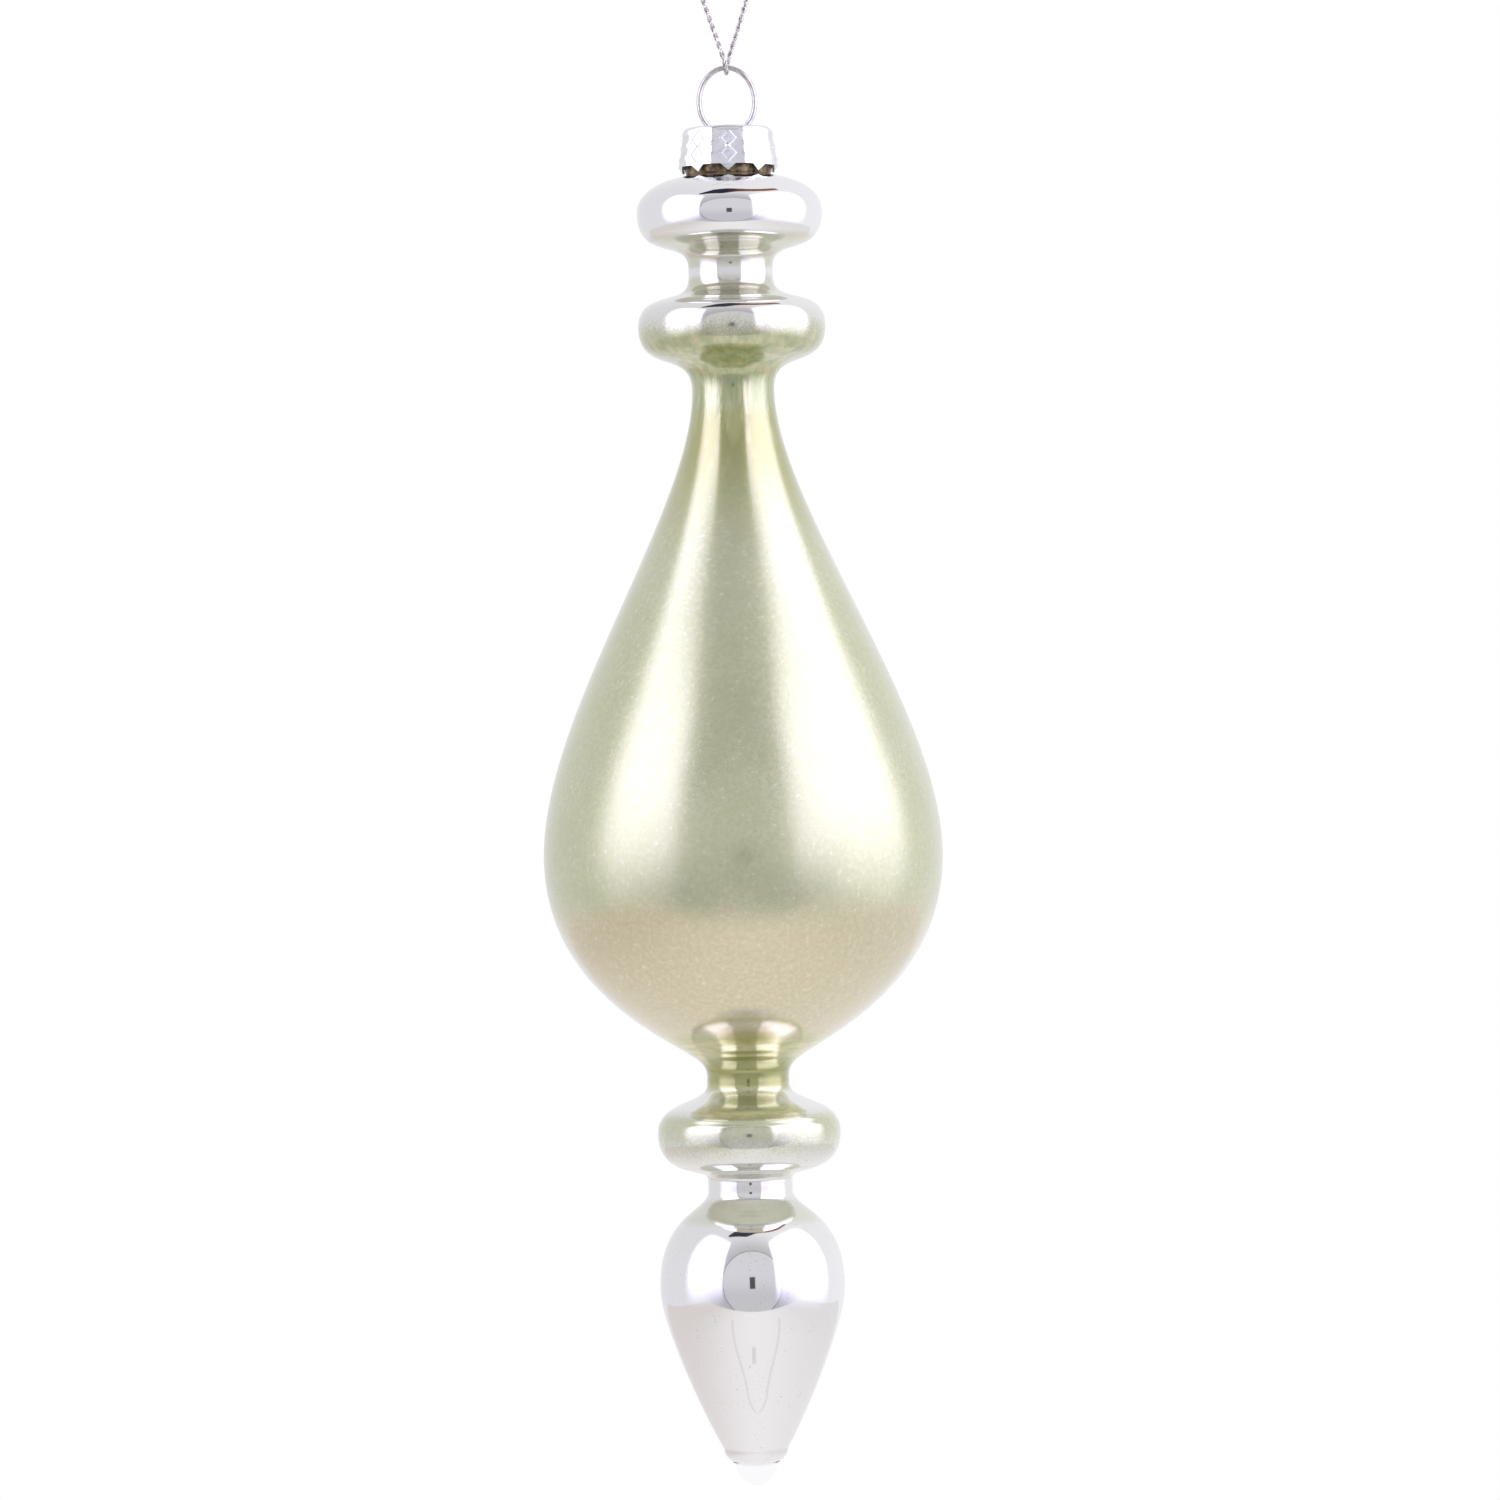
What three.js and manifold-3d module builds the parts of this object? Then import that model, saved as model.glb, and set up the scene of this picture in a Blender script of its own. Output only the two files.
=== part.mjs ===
// Blown-glass teardrop ornament on a hanging thread, in millimetres, +Z up.
// The origin is where the loop of thread hangs, and the ornament hangs below it on the Z axis.
// The eye of the wire hanger lies in the XZ plane, and one panel of the cap faces -Y.
import * as THREE from "three";
import { mergeVertices } from "three/addons/utils/BufferGeometryUtils.js";
import Module from "manifold-3d";

const wasm = await Module();
wasm.setup();

// Gap kept between pieces that rest on each other.
const seatGap = 0.3;

// Hanging thread, a loop that opens upwards from the wire eye.
const cordDiameter = 0.8;
const cordSides = 8;
const cordSteps = 76;
const cordLowest = [0, 0, -50.1];
const cordFrontRoute = [
  [-1.9, 0, 0.2],
  [-5.9, 0, -1.2],
  [-9.7, -0.1, -4.6],
  [-11.6, -0.3, -9.4],
  [-11.6, -0.4, -13.4],
  [-8.3, -0.7, -23.4],
  [-5.4, -1, -32],
  [-2.7, -1.3, -40.6],
  [-0.85, -1.55, -46.4],
  [-0.2, -1.55, -48.6],
  [0, -1.05, -49.7],
];

// Knot that joins the two ends of the thread.
const knotLength = 2.6;
const knotThickness = 2.2;
const tailLength = 5.5;
const tailSpread = 28;
const tailBend = 0.35;
const tailSteps = 5;

// Wire hanger: an elliptical eye above the cap and two sprung legs inside the neck.
const wireDiameter = 0.8;
const wireSides = 8;
const wireSteps = 74;
const eyeParts = 14;
const eyeWidth = 8.9;
const eyeHeight = 10.9;
const eyeRise = 9.55;
const waistDepth = 1.3;
const waistInset = 0.5;
const legLength = 13.2;
const legSplayDepth = 6.2;
const legHook = 1.1;

// Stamped cap: a thin sheet drawn into nine flat panels with a pointed skirt.
const panelCount = 9;
const capSheet = 0.35;
const capDepth = 6.4;
const rimPlay = 0.35;
const skirtPlay = 0.6;
const skirtFlarePower = 1.2;
const toothDepth = 1.05;
const toothHalfWidth = 0.4;
const crownDome = 0.18;
const shoulderDrop = 1;
const shoulderWidth = 0.95;
const footBand = 0.75;
const diamondCount = 2;
const diamondHalfWidth = 0.5;
const diamondHeight = 0.22;
const studHeight = 0.16;
const holePlay = 0.55;

// Blown glass: three discs, a teardrop and a small drop on one tube. Each bead has its widest
// radius, the heights from there to the necks above and below, and four shares of those heights
// that say how far its curve holds on at the upper neck, above and below the widest place, and
// at the lower neck.
const glassWall = 1;
const rimRadius = 6.2;
const discNeckRadius = 6.75;
const bodyNeckRadius = 6.57;
const upperDisc = { radius: 14.81, rise: 5.87, fall: 8.76, holds: [0.02, 0.87, 0.87, 0.57] };
const middleDisc = { radius: 14.98, rise: 7.9, fall: 10.11, holds: [0.63, 0.82, 0.74, 0.67] };
const teardrop = { radius: 31.9, rise: 74.48, fall: 34.02, holds: [0.25, 0.31, 0.715, 0.083] };
const lowerDisc = { radius: 14.62, rise: 6.63, fall: 7.47, holds: [0.3, 0.92, 0.98, 0.285] };
const smallDrop = { radius: 14.83, rise: 15.6, fall: 28.22, holds: [0.195, 0.784, 0.115, 0.053] };
const upperNeckLength = 1.59;
const lowerNeckLength = 3.64;
const dropNeckLength = 1.95;
const stubTaperShare = 0.67;

// Solid clear end of the glass under the small drop.
const tipRadius = 3.2;
const tipLength = 3.2;
const tipEndRadius = 1.4;
const dropEndSlope = 1.5;
const hollowFloor = 0.3;
const glassSegments = 36;
const outerRings = { disc: 6, bodyTop: 12, bodyFoot: 11, dropTop: 6, dropFoot: 8, tip: 4 };
const innerRings = { disc: 4, bodyTop: 8, bodyFoot: 7, dropTop: 4, dropFoot: 5, tip: 1 };

// Levels, worked out downwards from the hanging point.
const eyeTopZ = cordLowest[2] + cordDiameter / 2 + seatGap + wireDiameter / 2;
const crownZ = eyeTopZ - eyeRise;
const rimZ = crownZ - capSheet - crownDome - seatGap;
const shoulderZ = crownZ - capDepth - toothDepth - seatGap;

// The eye's centre above the crown, and where its ellipse meets the crown.
const eyeCentreHeight = eyeRise - eyeHeight / 2;
const crownAngle = Math.asin(eyeCentreHeight / (eyeHeight / 2));
const eyeFootX = (eyeWidth / 2) * Math.cos(crownAngle);

// The cap's radii at the panel edges: it clears the glass mouth at the top and the neck below.
const halfPanel = Math.PI / panelCount;
const capTopRadius = (rimRadius + rimPlay + capSheet) / Math.cos(halfPanel);
const capSkirtRadius = (discNeckRadius + skirtPlay + capSheet) / Math.cos(halfPanel);

const silver = new THREE.MeshStandardMaterial({ color: 0xdfe0e2, roughness: 0.22, metalness: 1 });
const mirroredGlass = new THREE.MeshStandardMaterial({ color: 0xbfcdaf, roughness: 0.2, metalness: 0.9 });
const steel = new THREE.MeshStandardMaterial({ color: 0xb9b9bb, roughness: 0.25, metalness: 1 });
const silverThread = new THREE.MeshStandardMaterial({ color: 0xc4c6ca, roughness: 0.4, metalness: 0.7 });

// A closed geometry as a solid for cutting and joining.
function solidFrom(geometry) {
  const plain = geometry.clone();
  plain.deleteAttribute("normal");
  plain.deleteAttribute("uv");
  const merged = mergeVertices(plain, 1e-4);
  return new wasm.Manifold(
    new wasm.Mesh({
      numProp: 3,
      vertProperties: new Float32Array(merged.attributes.position.array),
      triVerts: new Uint32Array(merged.index.array),
    }),
  );
}

function geometryFrom(solid) {
  const mesh = solid.getMesh();
  const geometry = new THREE.BufferGeometry();
  geometry.setAttribute("position", new THREE.BufferAttribute(mesh.vertProperties, 3));
  geometry.setIndex(new THREE.BufferAttribute(mesh.triVerts, 1));
  geometry.computeVertexNormals();
  return geometry;
}

function namedMesh(name, geometry, material) {
  const mesh = new THREE.Mesh(geometry, material);
  mesh.name = name;
  return mesh;
}

// A round section drawn along a curve, closed at both ends.
function rodAlong(curve, diameter, sides, steps) {
  const section = new THREE.Shape();
  for (let i = 0; i < sides; i += 1) {
    const angle = (i / sides) * 2 * Math.PI;
    const x = (diameter / 2) * Math.cos(angle);
    const y = (diameter / 2) * Math.sin(angle);
    if (i === 0) section.moveTo(x, y);
    else section.lineTo(x, y);
  }
  return new THREE.ExtrudeGeometry(section, { steps, extrudePath: curve, curveSegments: 1 });
}

// The thread from the knot, down in front of the wire, under it, and up behind it to the knot.
function makeCord() {
  const front = cordFrontRoute.map(([x, y, z]) => new THREE.Vector3(x, y, z));
  const back = cordFrontRoute.map(([x, y, z]) => new THREE.Vector3(-x, -y, z)).reverse();
  const route = [...front, new THREE.Vector3(...cordLowest), ...back];
  const curve = new THREE.CatmullRomCurve3(route, false, "centripetal");
  return rodAlong(curve, cordDiameter, cordSides, cordSteps);
}

// The knot's rounded body with two short tails of thread standing out of its top.
function makeKnot() {
  const endX = -cordFrontRoute[0][0];
  const middle = new THREE.Vector3(0, 0, knotLength / 2);
  const body = new THREE.SphereGeometry(1, 16, 10);
  body.scale(endX - seatGap, knotThickness / 2, knotLength / 2);
  body.translate(middle.x, middle.y, middle.z);
  let knot = solidFrom(body);
  for (const side of [-1, 1]) {
    const lean = THREE.MathUtils.degToRad(tailSpread * side);
    const reach = knotLength / 2 + tailLength;
    const tip = new THREE.Vector3(reach * Math.sin(lean), 0, reach * Math.cos(lean)).add(middle);
    const bend = new THREE.Vector3(tip.x * tailBend, 0, (tip.z + middle.z) / 2);
    const curve = new THREE.QuadraticBezierCurve3(middle, bend, tip);
    knot = knot.add(solidFrom(rodAlong(curve, cordDiameter, cordSides, tailSteps)));
  }
  return geometryFrom(knot);
}

// The wire's centreline in its own frame, whose origin is on the crown of the cap.
function wireCurve() {
  const waistX = eyeFootX - waistInset;
  const legX = rimRadius - glassWall - seatGap - wireDiameter / 2;
  const leg = [
    new THREE.Vector3(legX - legHook, 0, -legLength),
    new THREE.Vector3(legX - legHook / 3, 0, -legLength + legHook),
    new THREE.Vector3(legX, 0, -(legLength + legSplayDepth) / 2),
    new THREE.Vector3(legX - waistInset / 4, 0, -legSplayDepth),
    new THREE.Vector3(waistX, 0, -waistDepth),
  ];
  const eye = [];
  for (let i = 0; i <= eyeParts; i += 1) {
    const angle = -crownAngle + (i / eyeParts) * (Math.PI + 2 * crownAngle);
    const x = (eyeWidth / 2) * Math.cos(angle);
    const z = eyeCentreHeight + (eyeHeight / 2) * Math.sin(angle);
    eye.push(new THREE.Vector3(x, 0, z));
  }
  const otherLeg = leg.map((p) => new THREE.Vector3(-p.x, 0, p.z)).reverse();
  return new THREE.CatmullRomCurve3([...leg, ...eye, ...otherLeg], false, "centripetal");
}

// The rings of the cap from the skirt up to the crown. Each ring has four kinds of corner in a
// panel: the panel's edge, a side place, the middle and the other side place. A roundness of 1
// leaves the flat panels for the circle of the crown, and facing is 1 on the upright panels.
function capRings() {
  const panelTop = -shoulderDrop;
  const panelFoot = -capDepth + footBand;
  const flare = (z) => {
    const share = (panelTop - z) / (capDepth - shoulderDrop);
    return THREE.MathUtils.lerp(capTopRadius, capSkirtRadius, share ** skirtFlarePower);
  };
  const panelRing = (z, side, relief, tooth) => {
    return { z, radius: flare(z), side, relief, tooth, roundness: 0, facing: 1 };
  };
  const flat = [0, 0, 0, 0];
  const studs = [studHeight, 0, 0, 0];
  const diamonds = [0, 0, diamondHeight, 0];
  const rings = [panelRing(-capDepth, toothHalfWidth, flat, toothDepth)];
  for (let i = 0; i <= 2 * diamondCount; i += 1) {
    const z = THREE.MathUtils.lerp(panelFoot, panelTop, i / (2 * diamondCount));
    rings.push(panelRing(z, diamondHalfWidth, i % 2 === 0 ? studs : diamonds, 0));
  }
  const shoulder = panelRing(-shoulderDrop / 2, diamondHalfWidth, flat, 0);
  rings.push({ ...shoulder, radius: capTopRadius - shoulderWidth / 3, roundness: 0.5, facing: 0.7 });
  const crown = panelRing(-crownDome, diamondHalfWidth, flat, 0);
  rings.push({ ...crown, radius: capTopRadius - shoulderWidth, roundness: 1, facing: 0 });
  return rings;
}

// One corner of the cap's sheet, on its outer face or moved in by the sheet's thickness.
function capCorner(ring, column, inset) {
  const kind = column % 4;
  const place = [-1, -ring.side, 0, ring.side][kind];
  const panelAngle = -Math.PI / 2 + 2 * halfPanel * Math.floor(column / 4);
  const radius = ring.radius - inset * ring.facing;
  const flat = new THREE.Vector2(Math.cos(halfPanel), Math.sin(halfPanel) * place);
  const round = new THREE.Vector2(Math.cos(halfPanel * place), Math.sin(halfPanel * place));
  const corner = flat.lerp(round, ring.roundness).multiplyScalar(radius);
  corner.setLength(corner.length() + ring.relief[kind]);
  corner.rotateAround(new THREE.Vector2(), panelAngle);
  const drop = kind === 2 ? ring.tooth : 0;
  return [corner.x, corner.y, ring.z - drop - inset * (1 - ring.facing)];
}

// The drawn sheet: an outer and an inner face on the same rings, joined at the skirt's edge.
// Each cell is split so that its fold doesn't cross a raised corner.
function capSheetGeometry() {
  const rings = capRings();
  const columns = panelCount * 4;
  const cornersPerFace = rings.length * columns + 1;
  const positions = [];
  const index = [];
  for (const inset of [0, capSheet]) {
    for (const ring of rings) {
      for (let c = 0; c < columns; c += 1) positions.push(...capCorner(ring, c, inset));
    }
    positions.push(0, 0, -inset);
  }
  const outer = (r, c) => r * columns + (c % columns);
  const inner = (r, c) => cornersPerFace + outer(r, c);
  const raised = (r, c) => rings[r].relief[c % 4] > 0;
  const addCell = (a, b, c, d, foldFromA) => {
    if (foldFromA) index.push(a, b, c, a, c, d);
    else index.push(a, b, d, b, c, d);
  };
  const top = rings.length - 1;
  for (let c = 0; c < columns; c += 1) {
    for (let r = 0; r < top; r += 1) {
      const fold = !raised(r, c) && !raised(r + 1, c + 1);
      addCell(outer(r, c), outer(r, c + 1), outer(r + 1, c + 1), outer(r + 1, c), fold);
      addCell(inner(r + 1, c), inner(r + 1, c + 1), inner(r, c + 1), inner(r, c), !fold);
    }
    addCell(outer(0, c + 1), outer(0, c), inner(0, c), inner(0, c + 1), true);
    index.push(outer(top, c), outer(top, c + 1), cornersPerFace - 1);
    index.push(inner(top, c + 1), inner(top, c), 2 * cornersPerFace - 1);
  }
  const geometry = new THREE.BufferGeometry();
  geometry.setAttribute("position", new THREE.Float32BufferAttribute(positions, 3));
  geometry.setIndex(index);
  return geometry;
}

// The cap with its two holes, each centred where the wire's centreline crosses the sheet.
function makeCap() {
  const holeRadius = wireDiameter / 2 + holePlay;
  const holeX = eyeFootX - waistInset / 4;
  let cap = solidFrom(capSheetGeometry());
  for (const side of [-1, 1]) {
    const hole = new THREE.CylinderGeometry(holeRadius, holeRadius, 4 * shoulderDrop, 14);
    hole.rotateX(Math.PI / 2);
    hole.translate(side * holeX, 0, 0);
    cap = cap.subtract(solidFrom(hole));
  }
  return geometryFrom(cap);
}

// A curve between two places of the outline that leaves both of them parallel to the axis.
function flank(fromRadius, fromZ, toRadius, toZ, fromHold, toHold) {
  const span = toZ - fromZ;
  return new THREE.CubicBezierCurve(
    new THREE.Vector2(fromRadius, fromZ),
    new THREE.Vector2(fromRadius, fromZ + span * fromHold),
    new THREE.Vector2(toRadius, toZ - span * toHold),
    new THREE.Vector2(toRadius, toZ),
  );
}

// The small drop below its widest place, down to where the clear end starts.
function dropFoot(widestZ) {
  const [, , below, foot] = smallDrop.holds;
  const endZ = widestZ - smallDrop.fall;
  const lead = smallDrop.fall * foot;
  return new THREE.CubicBezierCurve(
    new THREE.Vector2(smallDrop.radius, widestZ),
    new THREE.Vector2(smallDrop.radius, widestZ - smallDrop.fall * below),
    new THREE.Vector2(tipRadius + lead * dropEndSlope, endZ + lead),
    new THREE.Vector2(tipRadius, endZ),
  );
}

// The clear end, rounded in to the axis.
function tipEnd(topZ) {
  return new THREE.CubicBezierCurve(
    new THREE.Vector2(tipRadius, topZ),
    new THREE.Vector2(tipRadius, topZ - tipLength / 2),
    new THREE.Vector2(tipEndRadius, topZ - tipLength),
    new THREE.Vector2(0, topZ - tipLength),
  );
}

// The outside of the glass from its mouth down to the tip, as curves with a count of rings each.
function glassOutline(rings) {
  const parts = [];
  let z = rimZ;
  const addTube = (fromRadius, toRadius, length) => {
    const from = new THREE.Vector2(fromRadius, z);
    z -= length;
    parts.push({ curve: new THREE.LineCurve(from, new THREE.Vector2(toRadius, z)), rings: 1 });
  };
  const addTop = (bead, neck, count) => {
    const [top, above] = bead.holds;
    parts.push({ curve: flank(neck, z, bead.radius, z - bead.rise, top, above), rings: count });
    z -= bead.rise;
  };
  const addFoot = (bead, neck, count) => {
    const [, , below, foot] = bead.holds;
    parts.push({ curve: flank(bead.radius, z, neck, z - bead.fall, below, foot), rings: count });
    z -= bead.fall;
  };
  const stub = rimZ - shoulderZ;
  addTube(rimRadius, discNeckRadius, stub * stubTaperShare);
  addTube(discNeckRadius, discNeckRadius, stub * (1 - stubTaperShare));
  addTop(upperDisc, discNeckRadius, rings.disc);
  addFoot(upperDisc, discNeckRadius, rings.disc);
  addTube(discNeckRadius, discNeckRadius, upperNeckLength);
  addTop(middleDisc, discNeckRadius, rings.disc);
  addFoot(middleDisc, bodyNeckRadius, rings.disc);
  addTop(teardrop, bodyNeckRadius, rings.bodyTop);
  addFoot(teardrop, bodyNeckRadius, rings.bodyFoot);
  addTube(bodyNeckRadius, bodyNeckRadius, lowerNeckLength);
  addTop(lowerDisc, bodyNeckRadius, rings.disc);
  addFoot(lowerDisc, discNeckRadius, rings.disc);
  addTube(discNeckRadius, discNeckRadius, dropNeckLength);
  addTop(smallDrop, discNeckRadius, rings.dropTop);
  parts.push({ curve: dropFoot(z), rings: rings.dropFoot });
  parts.push({ curve: tipEnd(z - smallDrop.fall), rings: rings.tip });
  return parts;
}

// Points down the outline, each moved in from the surface by the inset.
function outlinePoints(parts, inset) {
  const points = [];
  for (const { curve, rings } of parts) {
    const first = points.length === 0 ? 0 : 1;
    for (let k = first; k <= rings; k += 1) {
      const point = curve.getPoint(k / rings);
      const tangent = curve.getTangent(k / rings);
      points.push(new THREE.Vector2(point.x + inset * tangent.y, point.y - inset * tangent.x));
    }
  }
  return points;
}

// The blown shell: its outside, its open mouth, and the hollow down to a floor above the clear end.
function makeGlass() {
  const outside = outlinePoints(glassOutline(outerRings), 0);
  const hollow = outlinePoints(glassOutline(innerRings).slice(0, -1), glassWall);
  hollow[0].y = rimZ;
  const tipZ = outside[outside.length - 1].y;
  const floorZ = tipZ + tipLength + hollowFloor;
  const hollowEnd = hollow[hollow.length - 1];
  const floor = [
    new THREE.Vector2(hollowEnd.x / 2, (2 * floorZ + hollowEnd.y) / 3),
    new THREE.Vector2(0, floorZ),
  ];
  const glass = new THREE.LatheGeometry([...outside.reverse(), ...hollow, ...floor], glassSegments);
  glass.rotateX(Math.PI / 2);
  return glass;
}

const cord = new THREE.Group();
cord.add(namedMesh("hanging_cord", makeCord(), silverThread));
cord.add(namedMesh("cord_knot", makeKnot(), silverThread));

const hanger = new THREE.Group();
hanger.position.set(0, 0, crownZ);
const wire = rodAlong(wireCurve(), wireDiameter, wireSides, wireSteps);
hanger.add(namedMesh("wire_hanger", wire, steel));
hanger.add(namedMesh("cap", makeCap(), silver));

const ornament = new THREE.Group();
ornament.add(cord);
ornament.add(hanger);
ornament.add(namedMesh("glass_body", makeGlass(), mirroredGlass));

export default ornament;
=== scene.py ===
"""Looks of the teardrop ornament, in the CAD's frame.

Sizes and places are in millimetres until a mesh is made.
"""

import math

import bmesh
import bpy
import numpy as np
from mathutils import Matrix, Vector


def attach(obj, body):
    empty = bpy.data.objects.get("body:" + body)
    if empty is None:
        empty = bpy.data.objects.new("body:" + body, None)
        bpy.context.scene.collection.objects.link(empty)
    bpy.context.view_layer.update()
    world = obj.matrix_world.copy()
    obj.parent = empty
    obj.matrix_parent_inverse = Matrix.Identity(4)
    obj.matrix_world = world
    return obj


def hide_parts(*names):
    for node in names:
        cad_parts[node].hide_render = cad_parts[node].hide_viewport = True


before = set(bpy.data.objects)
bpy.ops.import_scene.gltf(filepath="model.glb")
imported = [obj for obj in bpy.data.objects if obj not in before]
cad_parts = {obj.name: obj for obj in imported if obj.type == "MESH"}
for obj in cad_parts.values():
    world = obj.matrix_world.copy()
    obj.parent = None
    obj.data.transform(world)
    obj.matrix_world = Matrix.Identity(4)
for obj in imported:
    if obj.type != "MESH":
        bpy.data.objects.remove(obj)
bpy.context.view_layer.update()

MM = 0.001
FULL_TURN = 2 * math.pi
TINY = 1e-6


# ---------------------------------------------------------------- camera
CAMERA_PLACE = (1.44, -1000, -158.2)
CAMERA_LEAN = 1.25  # degrees
CAMERA_LENS = 150
CAMERA_SENSOR = 36


def placed(x_axis, y_axis, z_axis, place):
    """The matrix of an object whose own axes point these three ways, at a place in metres."""
    rows = [(x_axis[k], y_axis[k], z_axis[k], place[k]) for k in range(3)]
    return Matrix((*rows, (0, 0, 0, 1)))


def add_camera():
    """The photograph's view: level, from the front, with the ornament's foot leaning to the right."""
    lean = math.radians(CAMERA_LEAN)
    right = (math.cos(lean), 0, -math.sin(lean))
    up = (math.sin(lean), 0, math.cos(lean))
    back = (0, -1, 0)
    data = bpy.data.cameras.new("photo_camera")
    data.sensor_width = CAMERA_SENSOR
    data.lens = CAMERA_LENS
    camera = bpy.data.objects.new("photo_camera", data)
    bpy.context.scene.collection.objects.link(camera)
    camera.matrix_world = placed(right, up, back, [value * MM for value in CAMERA_PLACE])
    bpy.context.scene.camera = camera


add_camera()


# ---------------------------------------------------------------- mesh helpers
def link_mesh(name, verts, faces, smooth=True):
    """A mesh object from points in millimetres, with its faces turned outwards."""
    mesh = bpy.data.meshes.new(name)
    mesh.from_pydata((np.asarray(verts, float) * MM).tolist(), [], faces)
    work = bmesh.new()
    work.from_mesh(mesh)
    bmesh.ops.recalc_face_normals(work, faces=work.faces)
    work.to_mesh(mesh)
    work.free()
    if smooth:
        mesh.polygons.foreach_set("use_smooth", [True] * len(mesh.polygons))
    thing = bpy.data.objects.new(name, mesh)
    bpy.context.scene.collection.objects.link(thing)
    return thing


def lathe(name, profile, segments):
    """A surface turned round the Z axis from (radius, height) pairs; a radius of 0 makes a pole."""
    verts, faces, rings = [], [], []
    angles = np.arange(segments) * FULL_TURN / segments
    for radius, z in profile:
        start = len(verts)
        if radius < TINY:
            verts.append((0, 0, z))
            rings.append([start] * segments)
        else:
            verts.extend((radius * math.cos(a), radius * math.sin(a), z) for a in angles)
            rings.append(list(range(start, start + segments)))
    for upper, lower in zip(rings[:-1], rings[1:]):
        for i in range(segments):
            j = (i + 1) % segments
            corners = [upper[i], upper[j], lower[j], lower[i]]
            corners = [c for k, c in enumerate(corners) if c != corners[k - 1]]
            if len(corners) > 2:
                faces.append(corners)
    return link_mesh(name, verts, faces)


def catmull(points, fine):
    """The centripetal Catmull-Rom line that the CAD source uses, with fine steps between two points."""
    pts = [np.array(p, float) for p in points]
    pts = [2 * pts[0] - pts[1], *pts, 2 * pts[-1] - pts[-2]]
    line = []
    for i in range(1, len(pts) - 2):
        p0, p1, p2, p3 = pts[i - 1 : i + 3]
        pairs = ((p0, p1), (p1, p2), (p2, p3))
        d0, d1, d2 = (max(np.sum((b - a) ** 2) ** 0.25, TINY) for a, b in pairs)
        t1 = ((p1 - p0) / d0 - (p2 - p0) / (d0 + d1) + (p2 - p1) / d1) * d1
        t2 = ((p2 - p1) / d1 - (p3 - p1) / (d1 + d2) + (p3 - p2) / d2) * d1
        square = 3 * (p2 - p1) - 2 * t1 - t2
        cube = 2 * (p1 - p2) + t1 + t2
        for k in range(fine):
            s = k / fine
            line.append(p1 + t1 * s + square * s**2 + cube * s**3)
    line.append(pts[-2])
    return np.array(line)


def spaced(line, step):
    """The same line with points the same distance apart, and how far along it each one is."""
    line = np.asarray(line, float)
    along = np.concatenate([[0], np.cumsum(np.linalg.norm(np.diff(line, axis=0), axis=1))])
    count = max(2, int(round(along[-1] / step)) + 1)
    at = np.linspace(0, along[-1], count)
    return np.stack([np.interp(at, along, line[:, k]) for k in range(3)], axis=1), at


def frames_along(line):
    """Two unit vectors across the line at each point, turned as little as possible on the way."""
    tangents = np.gradient(line, axis=0)
    tangents /= np.linalg.norm(tangents, axis=1)[:, None]
    runs_along_y = abs(tangents[0][1]) >= 0.9
    normal = np.cross(tangents[0], (1, 0, 0) if runs_along_y else (0, 1, 0))
    normal /= np.linalg.norm(normal)
    normals = []
    for t in tangents:
        normal = normal - np.dot(normal, t) * t
        normal /= np.linalg.norm(normal)
        normals.append(normal)
    normals = np.array(normals)
    return normals, np.cross(tangents, normals)


def tube(line, radius, sides):
    """Points and faces of a round tube along the line, closed at its ends.

    The radius is one number, or one for each point.
    """
    normals, others = frames_along(line)
    radii = np.broadcast_to(np.asarray(radius, float), (len(line),))
    angles = np.arange(sides) * FULL_TURN / sides
    verts = []
    for p, n, b, r in zip(line, normals, others, radii):
        verts.extend(p + r * (math.cos(a) * n + math.sin(a) * b) for a in angles)
    faces = []
    for k in range(len(line) - 1):
        near, far = k * sides, (k + 1) * sides
        for i in range(sides):
            j = (i + 1) % sides
            faces.append((near + i, near + j, far + j, far + i))
    faces.append(tuple(range(sides)))
    faces.append(tuple(range((len(line) - 1) * sides, len(line) * sides)))
    return verts, faces


def add_to(verts, faces, more):
    """Adds a part's points and faces to the lists of a mesh that is being built."""
    start = len(verts)
    verts.extend(more[0])
    faces.extend(tuple(start + i for i in f) for f in more[1])


# ---------------------------------------------------------------- thread
LAY_LENGTH = 3.0
PLY_RADIUS = 0.215
PLY_OFFSET = 0.18
PLY_SIDES = 10
THREAD_STEP = 0.16

# Half of the loop, from its top down to the wire's eye; the other half is turned round the Z axis.
FRONT_ROUTE = [
    (-1.9, 0, 0.2),
    (-5.9, 0, -1.2),
    (-9.7, -0.1, -4.6),
    (-11.6, -0.3, -9.4),
    (-11.6, -0.4, -13.4),
    (-8.3, -0.7, -23.4),
    (-5.4, -1, -32),
    (-2.7, -1.3, -40.6),
    (-0.85, -1.5, -46.2),
    (-0.2, -1.45, -48.35),
    (0, -0.95, -49.42),
]
LOWEST = (0, 0, -49.8)

# The knot: each strand wraps round the other as it climbs, and ends in a tail whose plies open.
WRAP_TURNS = 1.2
WRAP_STEPS = 12
WRAP_RADII = (0.86, 0.72)
WRAP_FOOT = 0.45
WRAP_RISE = 1.75
TAIL = [(1.0, 0.35, 2.75), (1.75, 0.1, 4.1), (2.55, 0, 5.6), (3.15, 0, 7.0)]
TAIL_OPENS_OVER = 1.6
TAIL_OPENS_BY = 0.16


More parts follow.
